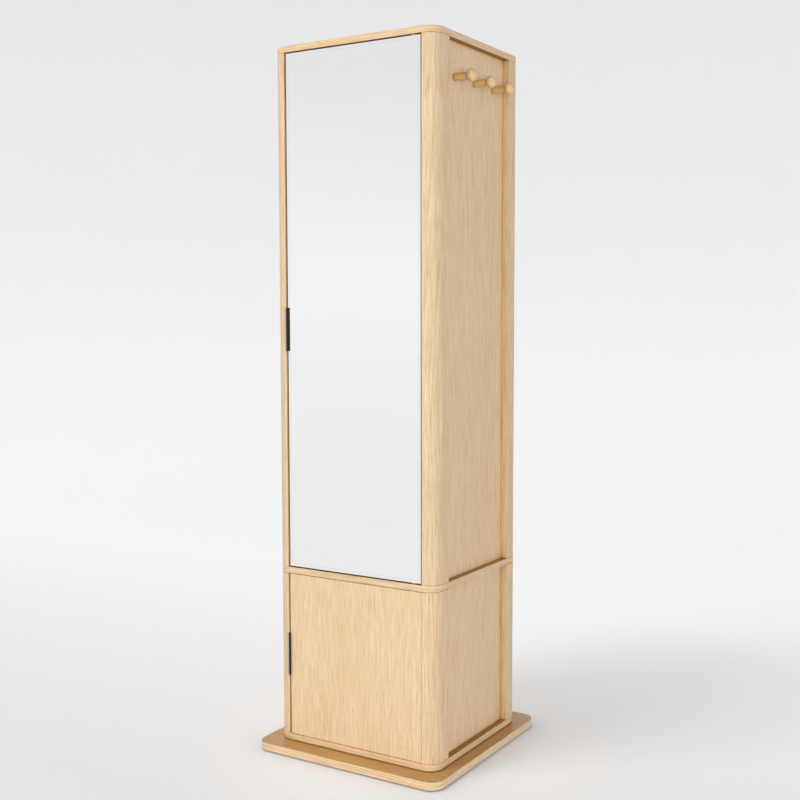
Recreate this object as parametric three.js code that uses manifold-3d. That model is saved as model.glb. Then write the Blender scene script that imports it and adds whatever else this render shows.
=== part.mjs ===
// Revolving wardrobe cabinet: a rounded oak cabinet with a full mirror door above a wooden door,
// which turns on a ball race let into a flat base plate. Millimetres, +Z up, front towards -Y.
// The origin is on the floor, where the turning axis meets it.
import * as THREE from 'three';
import { mergeVertices } from 'three/addons/utils/BufferGeometryUtils.js';
import Module from 'manifold-3d';

const wasm = await Module();
wasm.setup();

// Clearances
const restGap = 0.3; // between pieces that rest on or are let into one another
const runGap = 0.08; // around the pivot bolt and the door pins
const cutOverrun = 1; // how far a cutter runs past the face that it opens
const weldDistance = 0.001; // vertices nearer than this are one

// Cabinet
const cabinetWidth = 476;
const cabinetDepth = 446;
const boardThickness = 16; // bottom, middle and top panels and shelves
const panelThickness = 12; // side and back panels
const panelRecess = 18; // how far side and back panels stand behind the posts' faces
const postWidth = 38; // the radius of the cabinet's corners too
const postDepth = 66;
const grooveDepth = 6; // of the grooves in the posts that hold the panels
const lowerHeight = 425; // clear heights of the two compartments
const upperHeight = 1302;

// Base plate and the rubber pad under it
const baseOverhangSide = 34;
const baseOverhangFront = 52;
const baseThickness = 20;
const baseCornerRadius = 36;
const turnGap = 2; // between the base plate and the cabinet
const padHeight = 3;
const padInset = 10; // from the base plate's edges

// Ball race
const ringInner = 100;
const ringOuter = 150;
const ringThickness = 3;
const ringSpacing = 3.4; // between the two rings
const pocketClearance = 2; // around the rings in the base plate
const pitchRadius = 125;
const ballRadius = 2.4;
const raceClearance = 0.5; // between the balls and their grooves
const ballCount = 12;
const cageWidth = 13;
const cageThickness = 1.2;
const ringScrewInset = 10; // from a ring's edge to its screws
const ringScrewCount = 3;

// Pivot bolt, its bush and its flanged lock nut
const boltRadius = 6;
const boltHeadRadius = 15;
const boltHeadThickness = 4;
const boltEnd = 3; // past the nut
const bushWall = 3;
const bushFlangeWidth = 5;
const bushFlangeThickness = 2;
const nutFlangeRadius = 14;
const nutFlangeThickness = 2.5;
const nutAcrossFlats = 19;
const nutHeight = 12;

// Round tenons that stand on the posts' ends, two to an end
const tenonRadius = 6;
const tenonLength = 7;
const outerTenonInset = 24; // of the first tenon, from the post's side face and front face alike
const innerTenonInset = 19; // of the second tenon, from the side face
const innerTenonDepth = 50; // of the second tenon, from the front face

// Coat pegs
const pegCount = 3;
const pegSpacing = 100;
const pegDrop = 84; // below the top panel
const pegShaftRadius = 9;
const knobRadius = 15.5;
const knobHalfLength = 11;
const pegLength = 57;
const pegTenonRadius = 5;
const pegTenonLength = 9;

// Hanging rail and the sockets at its ends
const railRadius = 12;
const railWall = 1.5;
const railDrop = 60; // below the top panel
const socketFlangeRadius = 22;
const socketFlangeThickness = 3;
const socketWall = 3;
const socketDepth = 14;
const socketPinRadius = 2.5;
const socketPinLength = 8;
const socketPinOffset = 12; // of each of its two pins above and below its middle

// Shelves, housed in grooves in the side panels
const upperShelfHeight = 330; // clear height under the shelf
const lowerShelfHeight = 204;
const shelfFrontGap = 12; // behind the front posts
const housingDepth = 4;

// Doors
const glassThickness = 4;
const mirrorBoardThickness = 16;
const lowerBoardThickness = 18;
const mirrorSetback = 2; // behind the cabinet's front
const lowerSetback = 1;
const glassInset = 0.5; // from the edges of its board
const pullSideGap = 4.6; // between a door and the left post
const mirrorPivotGap = 3; // between the mirror door and the right post
const lowerPivotGap = 1;
const mirrorEndGap = 3; // above and below the mirror door
const lowerEndGap = 1.4;

// Edge pulls
const pullThickness = 3.2;
const pullLength = 110;
const pullReach = 8; // in front of the door
const pullFlange = 30; // along the back of the door
const pullScrewSpacing = 70;
const mirrorPullDrop = 39; // of the pull's middle below the mirror door's middle

// Door pivots: pins in the doors' ends, in flanged bushes in the panels
const pivotInset = 25; // of the axes from the doors' edges
const mirrorPivotSetback = 10; // of the axis behind the door's face
const lowerPivotSetback = 6;
const pinRadius = 2.5;
const pinInDoor = 22;
const pinInPanel = 5;
const sleeveWall = 2;
const sleeveFlangeWidth = 1.5;
const sleeveFlangeThickness = 0.8;

// Magnetic catches and strikes, each with a plug into the wood
const catchWidth = 40;
const catchDepth = 14;
const catchHeight = 14;
const catchInset = 15; // from the left post
const catchPlugRadius = 4;
const catchPlugLength = 8;
const strikeThickness = 1.5;
const endGapToStrike = 1; // from the top of the door
const strikePlugRadius = 2.5;
const strikePlugLength = 8;

// Countersunk screws
const screwRadius = 1.8;
const screwLength = 12;
const screwHeadRadius = 3.4;
const screwHeadHeight = 1.8;

// Fineness of round pieces
const cornerSteps = 8;
const ringSides = 36;
const boltSides = 24;
const tenonSides = 10;
const plugSides = 8;
const screwSides = 8;
const pegSides = 20;
const knobSteps = 7;
const grooveSteps = 3;

// Heights and places worked out from the sizes above
const halfWidth = cabinetWidth / 2;
const halfDepth = cabinetDepth / 2;
const innerHalfWidth = halfWidth - postWidth; // between the posts
const panelInnerX = halfWidth - panelRecess - panelThickness;
const backFrontY = halfDepth - panelRecess - panelThickness;
const postInnerY = halfDepth - postDepth;
const baseTop = padHeight + baseThickness;
const cabinetBottom = baseTop + turnGap;
const lowerFloor = cabinetBottom + boardThickness;
const middleBottom = lowerFloor + lowerHeight;
const upperFloor = middleBottom + boardThickness;
const topBottom = upperFloor + upperHeight;
const cabinetTop = topBottom + boardThickness;
const upperRingTop = cabinetBottom - restGap;
const upperRingBottom = upperRingTop - ringThickness;
const ballHeight = upperRingBottom - ringSpacing / 2;
const lowerRingTop = upperRingBottom - ringSpacing;
const lowerRingBottom = lowerRingTop - ringThickness;
const pocketFloor = lowerRingBottom - restGap;

const up = new THREE.Vector3(0, 0, 1);
const down = new THREE.Vector3(0, 0, -1);
const rightward = new THREE.Vector3(1, 0, 0);
const leftward = new THREE.Vector3(-1, 0, 0);
const forward = new THREE.Vector3(0, -1, 0);

// Solids

function signedVolume(positions, triangles) {
  const corner = (i) => new THREE.Vector3().fromArray(positions, 3 * i);
  let volume = 0;
  for (let i = 0; i < triangles.length; i += 3) {
    const [a, b, c] = [0, 1, 2].map((k) => corner(triangles[i + k]));
    volume += a.dot(b.cross(c));
  }
  return volume;
}

// A closed geometry becomes a solid whose faces point outwards.
function solidOf(geometry) {
  const bare = geometry.clone();
  bare.deleteAttribute('normal');
  bare.deleteAttribute('uv');
  const merged = mergeVertices(bare, weldDistance);
  const positions = merged.attributes.position.array;
  const triangles = [];
  for (let i = 0; i < merged.index.count; i += 3) {
    const [a, b, c] = [0, 1, 2].map((k) => merged.index.getX(i + k));
    if (a !== b && b !== c && c !== a) triangles.push(a, b, c);
  }
  if (signedVolume(positions, triangles) < 0) triangles.reverse();
  const mesh = new wasm.Mesh({
    numProp: 3,
    vertProperties: new Float32Array(positions),
    triVerts: new Uint32Array(triangles),
  });
  return new wasm.Manifold(mesh);
}

function joined(solids) {
  return solids.reduce((whole, solid) => whole.add(solid));
}

function cut(solid, cutters) {
  return cutters.reduce((rest, cutter) => rest.subtract(cutter), solid);
}

function block([x0, x1], [y0, y1], [z0, z1]) {
  const box = new THREE.BoxGeometry(x1 - x0, y1 - y0, z1 - z0);
  return solidOf(box.translate((x0 + x1) / 2, (y0 + y1) / 2, (z0 + z1) / 2));
}

// An outline in plan, raised from z0 to z1, with holes in it.
function slab(outline, [z0, z1], holes = []) {
  const shape = new THREE.Shape(outline);
  shape.holes = holes.map((points) => new THREE.Path(points));
  const options = { depth: z1 - z0, bevelEnabled: false };
  return solidOf(new THREE.ExtrudeGeometry(shape, options).translate(0, 0, z0));
}

// A profile of [radius, height] points turned about a line through a place.
function turned(profile, sides, direction, place) {
  const points = profile.map(([radius, height]) => new THREE.Vector2(radius, height));
  const lathe = new THREE.LatheGeometry(points, sides).rotateX(Math.PI / 2);
  const turn = new THREE.Quaternion().setFromUnitVectors(up, direction);
  return solidOf(lathe.applyQuaternion(turn).translate(...place));
}

function rod(radius, length, sides, direction, place) {
  return turned([[0, 0], [radius, 0], [radius, length], [0, length]], sides, direction, place);
}

// A round sleeve with a hole right through it.
function sleeve(inner, outer, length, sides, direction, place) {
  const profile = [[inner, 0], [outer, 0], [outer, length], [inner, length], [inner, 0]];
  return turned(profile, sides, direction, place);
}

function circle(radius, sides, [x, y] = [0, 0]) {
  return Array.from({ length: sides }, (_, i) => {
    const angle = (2 * Math.PI * i) / sides;
    return new THREE.Vector2(x + radius * Math.cos(angle), y + radius * Math.sin(angle));
  });
}

// A rectangle about the origin with four round corners.
function roundedRectangle(halfX, halfY, radius) {
  const corners = [[1, 1], [-1, 1], [-1, -1], [1, -1]];
  return corners.flatMap(([sideX, sideY], quarter) =>
    Array.from({ length: cornerSteps + 1 }, (_, i) => {
      const angle = (Math.PI / 2) * (quarter + i / cornerSteps);
      return new THREE.Vector2(
        sideX * (halfX - radius) + radius * Math.cos(angle),
        sideY * (halfY - radius) + radius * Math.sin(angle),
      );
    }));
}

// Places evenly spaced on a circle about the turning axis.
function ringPlaces(radius, count, height) {
  return Array.from({ length: count }, (_, i) => {
    const angle = (2 * Math.PI * (i + 1 / 2)) / count;
    return [radius * Math.cos(angle), radius * Math.sin(angle), height];
  });
}

// A screw is driven from a place, its head's face, in the direction of its way.
function screw({ place, way }) {
  const profile = [
    [0, 0], [screwHeadRadius, 0], [screwRadius, screwHeadHeight], [screwRadius, screwLength],
    [0, screwLength],
  ];
  return turned(profile, screwSides, way, place);
}

function screwHole({ place, way }) {
  const [head, shank, end] = [screwHeadRadius + restGap, screwRadius + restGap, screwLength + restGap];
  const profile = [
    [0, -cutOverrun], [head, -cutOverrun], [head, 0], [shank, screwHeadHeight], [shank, end], [0, end],
  ];
  return turned(profile, screwSides, way, place);
}

function drives(places, way) {
  return places.map((place) => ({ place, way }));
}

// The model

const finishes = {
  oak: { color: 0xe8cd9f, roughness: 0.55, metalness: 0 },
  innerOak: { color: 0xddbf8f, roughness: 0.6, metalness: 0 },
  beech: { color: 0xd9b98a, roughness: 0.7, metalness: 0 },
  mirror: { color: 0xe6e8ea, roughness: 0.03, metalness: 1 },
  pullSteel: { color: 0x6f6a64, roughness: 0.35, metalness: 1 },
  zincSteel: { color: 0xb9bcc0, roughness: 0.4, metalness: 1 },
  aluminium: { color: 0xc8cbcf, roughness: 0.35, metalness: 1 },
  nylon: { color: 0xf0efe9, roughness: 0.5, metalness: 0 },
  darkRubber: { color: 0x3a3835, roughness: 0.9, metalness: 0 },
};

const model = new THREE.Group();

function addPart(name, solid, finish) {
  const mesh = solid.getMesh();
  const geometry = new THREE.BufferGeometry();
  geometry.setAttribute('position', new THREE.BufferAttribute(mesh.vertProperties, 3));
  geometry.setIndex(new THREE.BufferAttribute(mesh.triVerts, 1));
  const part = new THREE.Mesh(geometry, new THREE.MeshStandardMaterial(finishes[finish]));
  part.name = name;
  model.add(part);
}

// Places that more than one piece shares

const lowerRingDrives = drives(
  ringPlaces(ringInner + ringScrewInset, ringScrewCount, lowerRingTop), down);
const upperRingDrives = drives(
  ringPlaces(ringOuter - ringScrewInset, ringScrewCount, upperRingBottom), up);

const pegHeight = topBottom - pegDrop;
const pegRows = Array.from({ length: pegCount }, (_, i) => (i - (pegCount - 1) / 2) * pegSpacing);
const railHeight = topBottom - railDrop;

function tenonPlaces(side, end) {
  const insets = [[outerTenonInset, outerTenonInset], [innerTenonInset, innerTenonDepth]];
  return insets.map(([u, v]) => [side * (halfWidth - u), end * (halfDepth - v)]);
}

const allTenonPlaces = [-1, 1].flatMap((side) => [-1, 1].flatMap((end) => tenonPlaces(side, end)));

// Round holes for the posts' tenons, in the face of a panel that looks along the way.
function tenonHoles(face, way) {
  const depth = tenonLength + restGap;
  return allTenonPlaces.map(([x, y]) =>
    rod(tenonRadius + restGap, depth + cutOverrun, tenonSides, way, [x, y, face - way.z * depth]));
}

// Doors: what the two have in common is worked out from one description of each.

const doorLeft = pullSideGap - innerHalfWidth;
const catchLeft = catchInset - innerHalfWidth;
const catchMiddle = catchLeft + catchWidth / 2;

function describeDoor({
  name, face, boardFront, thickness, floor, ceiling, endGap, pivotGap, setback, pullHeight,
}) {
  const boardBack = boardFront + thickness;
  const right = innerHalfWidth - pivotGap;
  return {
    name, face, boardFront, boardBack, right, floor, ceiling, pullHeight,
    bottom: floor + endGap,
    top: ceiling - endGap,
    axisX: right - pivotInset,
    axisY: face + setback,
    strikeFront: boardBack + restGap,
    strikeBack: boardBack + restGap + strikeThickness,
    catchTop: ceiling - restGap,
  };
}

const mirrorFace = mirrorSetback - halfDepth;
const lowerFace = lowerSetback - halfDepth;

const mirrorDoor = describeDoor({
  name: 'mirror_door',
  face: mirrorFace,
  boardFront: mirrorFace + glassThickness + restGap,
  thickness: mirrorBoardThickness,
  floor: upperFloor,
  ceiling: topBottom,
  endGap: mirrorEndGap,
  pivotGap: mirrorPivotGap,
  setback: mirrorPivotSetback,
  pullHeight: (upperFloor + topBottom) / 2 - mirrorPullDrop,
});
const lowerDoor = describeDoor({
  name: 'lower_door',
  face: lowerFace,
  boardFront: lowerFace,
  thickness: lowerBoardThickness,
  floor: lowerFloor,
  ceiling: middleBottom,
  endGap: lowerEndGap,
  pivotGap: lowerPivotGap,
  setback: lowerPivotSetback,
  pullHeight: (lowerFloor + middleBottom) / 2,
});

function pullDrives(door) {
  const x = doorLeft + pullFlange / 2;
  const y = door.boardBack + restGap + pullThickness;
  return drives([-1, 1].map((end) => [x, y, door.pullHeight + (end * pullScrewSpacing) / 2]), forward);
}

// The two ends of a door: the face of the panel there, the door's own edge and the way out.
function doorEnds(door) {
  return {
    top: { face: door.ceiling, edge: door.top, way: up },
    bottom: { face: door.floor, edge: door.bottom, way: down },
  };
}

function doorBoard(door) {
  const board = block([doorLeft, door.right], [door.boardFront, door.boardBack], [door.bottom, door.top]);
  const depth = pinInDoor + restGap;
  const pinHoles = Object.values(doorEnds(door)).map(({ edge, way }) =>
    rod(pinRadius + restGap, depth + cutOverrun, boltSides, way,
      [door.axisX, door.axisY, edge - way.z * depth]));
  const plugStart = [catchMiddle, door.boardBack + cutOverrun, door.catchTop - catchHeight / 2];
  const plugDepth = strikePlugLength + restGap + cutOverrun;
  const plugHole = rod(strikePlugRadius + restGap, plugDepth, plugSides, forward, plugStart);
  return cut(board, [...pinHoles, plugHole, ...pullDrives(door).map(screwHole)]);
}

function pivotPin(door, { edge, face, way }) {
  const length = pinInDoor + Math.abs(face - edge) + pinInPanel;
  return rod(pinRadius, length, boltSides, way, [door.axisX, door.axisY, edge - way.z * pinInDoor]);
}

// A flanged bush let into the panel at an end of a door, around its pin.
function pivotBush(door, { face, way }) {
  const depth = pinInPanel + restGap;
  const inner = pinRadius + runGap;
  const outer = inner + sleeveWall;
  const flange = outer + sleeveFlangeWidth;
  const lip = restGap + sleeveFlangeThickness;
  const profile = [
    [inner, -lip], [flange, -lip], [flange, -restGap], [outer, -restGap], [outer, depth], [inner, depth],
    [inner, -lip],
  ];
  return turned(profile, boltSides, way, [door.axisX, door.axisY, face]);
}

function bushHole(door, { face, way }) {
  const radius = pinRadius + runGap + sleeveWall + restGap;
  const length = pinInPanel + 2 * restGap + cutOverrun;
  return rod(radius, length, boltSides, way, [door.axisX, door.axisY, face - way.z * cutOverrun]);
}

// An angle of flat metal: one leg along the door's edge and out in front, one behind the door.
function doorPull(door) {
  const outer = doorLeft - restGap - pullThickness;
  const inner = doorLeft - restGap;
  const tip = door.face - pullReach;
  const flangeFront = door.boardBack + restGap;
  const flangeBack = flangeFront + pullThickness;
  const end = doorLeft + pullFlange;
  const outline = [
    [outer, tip], [inner, tip], [inner, flangeFront], [end, flangeFront], [end, flangeBack],
    [outer, flangeBack],
  ].map(([x, y]) => new THREE.Vector2(x, y));
  const span = [door.pullHeight - pullLength / 2, door.pullHeight + pullLength / 2];
  return cut(slab(outline, span), pullDrives(door).map(screwHole));
}

// The strike's plate lies behind the door with its plug in the board.
function doorStrike(door) {
  const x = [catchLeft, catchLeft + catchWidth];
  const z = [door.catchTop - catchHeight, door.top - endGapToStrike];
  const plate = block(x, [door.strikeFront, door.strikeBack], z);
  const start = [catchMiddle, door.strikeBack, door.catchTop - catchHeight / 2];
  const length = strikeThickness + restGap + strikePlugLength;
  return plate.add(rod(strikePlugRadius, length, plugSides, forward, start));
}

function catchPlace(door) {
  return [catchMiddle, door.strikeBack + restGap + catchDepth / 2];
}

function magneticCatch(door) {
  const front = door.strikeBack + restGap;
  const x = [catchLeft, catchLeft + catchWidth];
  const body = block(x, [front, front + catchDepth], [door.catchTop - catchHeight, door.catchTop]);
  const length = catchHeight + restGap + catchPlugLength;
  const start = [...catchPlace(door), door.catchTop - catchHeight];
  return body.add(rod(catchPlugRadius, length, plugSides, up, start));
}

function catchHole(door) {
  const length = cutOverrun + catchPlugLength + restGap;
  const start = [...catchPlace(door), door.ceiling - cutOverrun];
  return rod(catchPlugRadius + restGap, length, plugSides, up, start);
}

const doors = [mirrorDoor, lowerDoor];

// Base plate, pad and turntable

const baseHalfX = halfWidth + baseOverhangSide;
const baseHalfY = halfDepth + baseOverhangFront;
const boltHeadTop = padHeight + restGap + boltHeadThickness;

function basePlate() {
  const plate = slab(roundedRectangle(baseHalfX, baseHalfY, baseCornerRadius), [padHeight, baseTop]);
  const start = padHeight - cutOverrun;
  return cut(plate, [
    rod(ringOuter + pocketClearance, baseTop - pocketFloor + cutOverrun, ringSides, up, [0, 0, pocketFloor]),
    rod(boltHeadRadius + restGap, boltHeadTop + restGap - start, boltSides, up, [0, 0, start]),
    rod(boltRadius + restGap, baseTop - start, boltSides, up, [0, 0, start]),
    ...lowerRingDrives.map(screwHole),
  ]);
}

function basePad() {
  const radius = baseCornerRadius - padInset;
  return slab(roundedRectangle(baseHalfX - padInset, baseHalfY - padInset, radius), [0, padHeight - restGap]);
}

// A flat ring with a round ball groove in the face at groovePlane, on the ball's side.
function raceRing(low, high, grooveSide) {
  const radius = ballRadius + raceClearance;
  const groovePlane = grooveSide > 0 ? high : low;
  const reach = Math.acos(Math.abs(groovePlane - ballHeight) / radius);
  const groove = Array.from({ length: grooveSteps + 1 }, (_, i) => {
    const angle = reach * ((2 * i) / grooveSteps - 1);
    return [pitchRadius + radius * Math.sin(angle), ballHeight - grooveSide * radius * Math.cos(angle)];
  });
  const farPlane = grooveSide > 0 ? low : high;
  const profile = [
    [ringInner, farPlane], [ringInner, groovePlane], ...groove, [ringOuter, groovePlane],
    [ringOuter, farPlane], [ringInner, farPlane],
  ];
  return turned(profile, ringSides, up, [0, 0, 0]);
}

// A flat ring that holds the balls on the pitch circle, each snapped into it.
function ballCage() {
  const edges = [-1, 1].map((side) => circle(pitchRadius + (side * cageWidth) / 2, ringSides));
  const z = [ballHeight - cageThickness / 2, ballHeight + cageThickness / 2];
  const balls = ringPlaces(pitchRadius, ballCount, ballHeight).map((place) =>
    solidOf(new THREE.IcosahedronGeometry(ballRadius, 1).translate(...place)));
  return joined([slab(edges[1], z, [edges[0]]), ...balls]);
}

const bushOuter = boltRadius + runGap + bushWall;
const bushTop = lowerFloor + restGap + bushFlangeThickness;
const nutBottom = bushTop + restGap;
const boltTop = nutBottom + nutHeight + boltEnd;

function pivotBolt() {
  const bottom = padHeight + restGap;
  const profile = [
    [0, bottom], [boltHeadRadius, bottom], [boltHeadRadius, boltHeadTop], [boltRadius, boltHeadTop],
    [boltRadius, boltTop], [0, boltTop],
  ];
  return turned(profile, boltSides, up, [0, 0, 0]);
}

function pivotBushing() {
  const inner = boltRadius + runGap;
  const flange = bushOuter + bushFlangeWidth;
  const profile = [
    [inner, cabinetBottom], [bushOuter, cabinetBottom], [bushOuter, lowerFloor + restGap],
    [flange, lowerFloor + restGap], [flange, bushTop], [inner, bushTop], [inner, cabinetBottom],
  ];
  return turned(profile, boltSides, up, [0, 0, 0]);
}

function lockNut() {
  const flange = circle(nutFlangeRadius, boltSides);
  const hexagon = circle(nutAcrossFlats / Math.sqrt(3), 6);
  const hole = circle(boltRadius + runGap, boltSides);
  return joined([
    slab(flange, [nutBottom, nutBottom + nutFlangeThickness], [hole]),
    slab(hexagon, [nutBottom, nutBottom + nutHeight], [hole]),
  ]);
}

// Cabinet panels and posts

function carcassPanel(low, cutters) {
  const outline = roundedRectangle(halfWidth, halfDepth, postWidth);
  return cut(slab(outline, [low, low + boardThickness]), cutters);
}

// The outline of a post, as depths u from the cabinet's side and v from its front or back. The
// outer corner is an arc, the side panel's groove is in the inner end, and a rear post also has
// the back panel's groove in its inner side.
function postOutline(side, end) {
  const arc = Array.from({ length: cornerSteps + 1 }, (_, i) => {
    const angle = (Math.PI / 2) * (i / cornerSteps);
    return [postWidth * (1 - Math.cos(angle)), postWidth * (1 - Math.sin(angle))];
  });
  const [near, far] = [panelRecess - restGap, panelRecess + panelThickness + restGap];
  const backGroove = [
    [postWidth, near], [postWidth - grooveDepth, near], [postWidth - grooveDepth, far], [postWidth, far],
  ];
  const sideGroove = [
    [far, postDepth], [far, postDepth - grooveDepth], [near, postDepth - grooveDepth], [near, postDepth],
  ];
  const points = [
    ...arc, ...(end > 0 ? backGroove : []), [postWidth, postDepth], ...sideGroove, [0, postDepth],
  ];
  return points.map(([u, v]) => new THREE.Vector2(side * (halfWidth - u), end * (halfDepth - v)));
}

// A post has two round tenons on each end.
function cornerPost(side, end, [floor, ceiling]) {
  const low = floor + restGap;
  const high = ceiling - restGap;
  const length = high - low + 2 * tenonLength;
  const tenons = tenonPlaces(side, end).map(([x, y]) =>
    rod(tenonRadius, length, tenonSides, up, [x, y, low - tenonLength]));
  return joined([slab(postOutline(side, end), [low, high]), ...tenons]);
}

const upperShelfBottom = upperFloor + upperShelfHeight;
const lowerShelfBottom = lowerFloor + lowerShelfHeight;
const panelHalfY = postInnerY + grooveDepth - restGap;

function sidePanel(side, [floor, ceiling], shelfBottom, cutters) {
  const faces = [side * panelInnerX, side * (panelInnerX + panelThickness)].sort((a, b) => a - b);
  const panel = block(faces, [-panelHalfY, panelHalfY], [floor + restGap, ceiling - restGap]);
  const groove = block(
    [side * (panelInnerX - cutOverrun), side * (panelInnerX + housingDepth)].sort((a, b) => a - b),
    [-panelHalfY - cutOverrun, panelHalfY + cutOverrun],
    [shelfBottom - restGap, shelfBottom + boardThickness + restGap]);
  return cut(panel, [groove, ...cutters]);
}

function backPanel([floor, ceiling]) {
  const halfX = innerHalfWidth + grooveDepth - restGap;
  const faces = [backFrontY, backFrontY + panelThickness];
  return block([-halfX, halfX], faces, [floor + restGap, ceiling - restGap]);
}

// A shelf's sides stand in the side panels' grooves, and it is notched to pass the rear posts.
function shelf(low) {
  const wide = panelInnerX + housingDepth - restGap;
  const narrow = innerHalfWidth - restGap;
  const front = shelfFrontGap - postInnerY;
  const notch = postInnerY - restGap;
  const back = backFrontY - restGap;
  const half = [[wide, front], [wide, notch], [narrow, notch], [narrow, back]];
  const other = half.map(([x, y]) => [-x, y]).reverse();
  const outline = [...half, ...other].map(([x, y]) => new THREE.Vector2(x, y));
  return slab(outline, [low, low + boardThickness]);
}

// Coat pegs: a tenon into the side panel, a straight shaft, and a knob shaped as half an ellipse.
function coatPeg(y) {
  const middle = pegLength - knobHalfLength;
  const start = Math.asin(pegShaftRadius / knobRadius);
  const knob = Array.from({ length: knobSteps + 1 }, (_, i) => {
    const angle = start + (Math.PI - start) * (i / knobSteps);
    const radius = i === knobSteps ? 0 : knobRadius * Math.sin(angle);
    return [radius, middle - knobHalfLength * Math.cos(angle)];
  });
  const tenon = [[0, -pegTenonLength], [pegTenonRadius, -pegTenonLength], [pegTenonRadius, 0]];
  const faceX = panelInnerX + panelThickness + restGap;
  return turned([...tenon, [pegShaftRadius, 0], ...knob], pegSides, rightward, [faceX, y, pegHeight]);
}

function pegHoles() {
  const start = panelInnerX + panelThickness - pegTenonLength - restGap;
  const length = pegTenonLength + restGap + cutOverrun;
  return pegRows.map((y) =>
    rod(pegTenonRadius + restGap, length, tenonSides, rightward, [start, y, pegHeight]));
}

// The rail runs from side to side in two sockets, each with two pins into its side panel.
function hangingRail() {
  const start = restGap + socketFlangeThickness + restGap - panelInnerX;
  return sleeve(railRadius - railWall, railRadius, -2 * start, pegSides, rightward, [start, 0, railHeight]);
}

function socketPins(side, grow) {
  const way = side > 0 ? rightward : leftward;
  return [-1, 1].map((end) => rod(
    socketPinRadius + grow, socketPinLength + socketFlangeThickness + grow, plugSides, way,
    [side * (panelInnerX - socketFlangeThickness), 0, railHeight + end * socketPinOffset]));
}

function railSocket(side) {
  const way = side > 0 ? leftward : rightward;
  const hole = railRadius + restGap;
  const depth = restGap + socketFlangeThickness;
  const profile = [
    [0, restGap], [socketFlangeRadius, restGap], [socketFlangeRadius, depth], [hole + socketWall, depth],
    [hole + socketWall, depth + socketDepth], [hole, depth + socketDepth], [hole, depth], [0, depth],
  ];
  const pins = socketPins(side, 0);
  return joined([turned(profile, pegSides, way, [side * panelInnerX, 0, railHeight]), ...pins]);
}

// Base, fixed to the floor
addPart('base_plate', basePlate(), 'oak');
addPart('base_pad', basePad(), 'darkRubber');
addPart('pivot_bolt', pivotBolt(), 'zincSteel');
addPart('pivot_lock_nut', lockNut(), 'zincSteel');
addPart('turntable_lower_ring',
  cut(raceRing(lowerRingBottom, lowerRingTop, 1), lowerRingDrives.map(screwHole)), 'zincSteel');
lowerRingDrives.forEach((drive, i) => addPart(`lower_ring_screw_${i + 1}`, screw(drive), 'zincSteel'));

// Ball race between the base and the cabinet
addPart('turntable_ball_cage', ballCage(), 'zincSteel');

// Cabinet
addPart('turntable_upper_ring',
  cut(raceRing(upperRingBottom, upperRingTop, -1), upperRingDrives.map(screwHole)), 'zincSteel');
upperRingDrives.forEach((drive, i) => addPart(`upper_ring_screw_${i + 1}`, screw(drive), 'zincSteel'));
addPart('pivot_bushing', pivotBushing(), 'nylon');
const bushingHoleStart = [0, 0, cabinetBottom - cutOverrun];
addPart('bottom_panel', carcassPanel(cabinetBottom, [
  ...tenonHoles(lowerFloor, up),
  ...upperRingDrives.map(screwHole),
  rod(bushOuter + restGap, boardThickness + 2 * cutOverrun, boltSides, up, bushingHoleStart),
  bushHole(lowerDoor, doorEnds(lowerDoor).bottom),
]), 'oak');
addPart('middle_panel', carcassPanel(middleBottom, [
  ...tenonHoles(middleBottom, down),
  ...tenonHoles(upperFloor, up),
  bushHole(lowerDoor, doorEnds(lowerDoor).top),
  bushHole(mirrorDoor, doorEnds(mirrorDoor).bottom),
  catchHole(lowerDoor),
]), 'oak');
addPart('top_panel', carcassPanel(topBottom, [
  ...tenonHoles(topBottom, down),
  bushHole(mirrorDoor, doorEnds(mirrorDoor).top),
  catchHole(mirrorDoor),
]), 'oak');

const storeys = [
  { name: 'lower', span: [lowerFloor, middleBottom], shelfBottom: lowerShelfBottom },
  { name: 'upper', span: [upperFloor, topBottom], shelfBottom: upperShelfBottom },
];
for (const { name, span, shelfBottom } of storeys) {
  for (const [sideName, side] of [['right', 1], ['left', -1]]) {
    for (const [endName, end] of [['front', -1], ['rear', 1]]) {
      addPart(`${name}_${endName}_${sideName}_post`, cornerPost(side, end, span), 'oak');
    }
    const holes = name === 'upper' ? [...socketPins(side, restGap), ...(side > 0 ? pegHoles() : [])] : [];
    addPart(`${name}_${sideName}_side_panel`, sidePanel(side, span, shelfBottom, holes), 'oak');
  }
  addPart(`${name}_back_panel`, backPanel(span), 'oak');
  addPart(`${name}_shelf`, shelf(shelfBottom), 'innerOak');
}

pegRows.forEach((y, i) => addPart(`coat_peg_${i + 1}`, coatPeg(y), 'oak'));
addPart('hanging_rail', hangingRail(), 'aluminium');
addPart('right_rail_socket', railSocket(1), 'zincSteel');
addPart('left_rail_socket', railSocket(-1), 'zincSteel');

// Doors, with the pieces in the cabinet that hold them
addPart('mirror_glass', block(
  [doorLeft + glassInset, mirrorDoor.right - glassInset], [mirrorFace, mirrorFace + glassThickness],
  [mirrorDoor.bottom + glassInset, mirrorDoor.top - glassInset]), 'mirror');
for (const door of doors) {
  addPart(`${door.name}_board`, doorBoard(door), 'oak');
  addPart(`${door.name}_pull`, doorPull(door), 'pullSteel');
  pullDrives(door).forEach((drive, i) =>
    addPart(`${door.name}_pull_screw_${i + 1}`, screw(drive), 'zincSteel'));
  for (const [endName, end] of Object.entries(doorEnds(door))) {
    addPart(`${door.name}_${endName}_pin`, pivotPin(door, end), 'zincSteel');
    addPart(`${door.name}_${endName}_bush`, pivotBush(door, end), 'nylon');
  }
  addPart(`${door.name}_strike`, doorStrike(door), 'zincSteel');
  addPart(`${door.name}_catch`, magneticCatch(door), 'nylon');
}

export default model;
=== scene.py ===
# Revolving wardrobe cabinet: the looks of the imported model, in metres, +Z up, front towards -Y.
import math

import bpy
import numpy as np
from mathutils import Matrix, Vector


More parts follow.
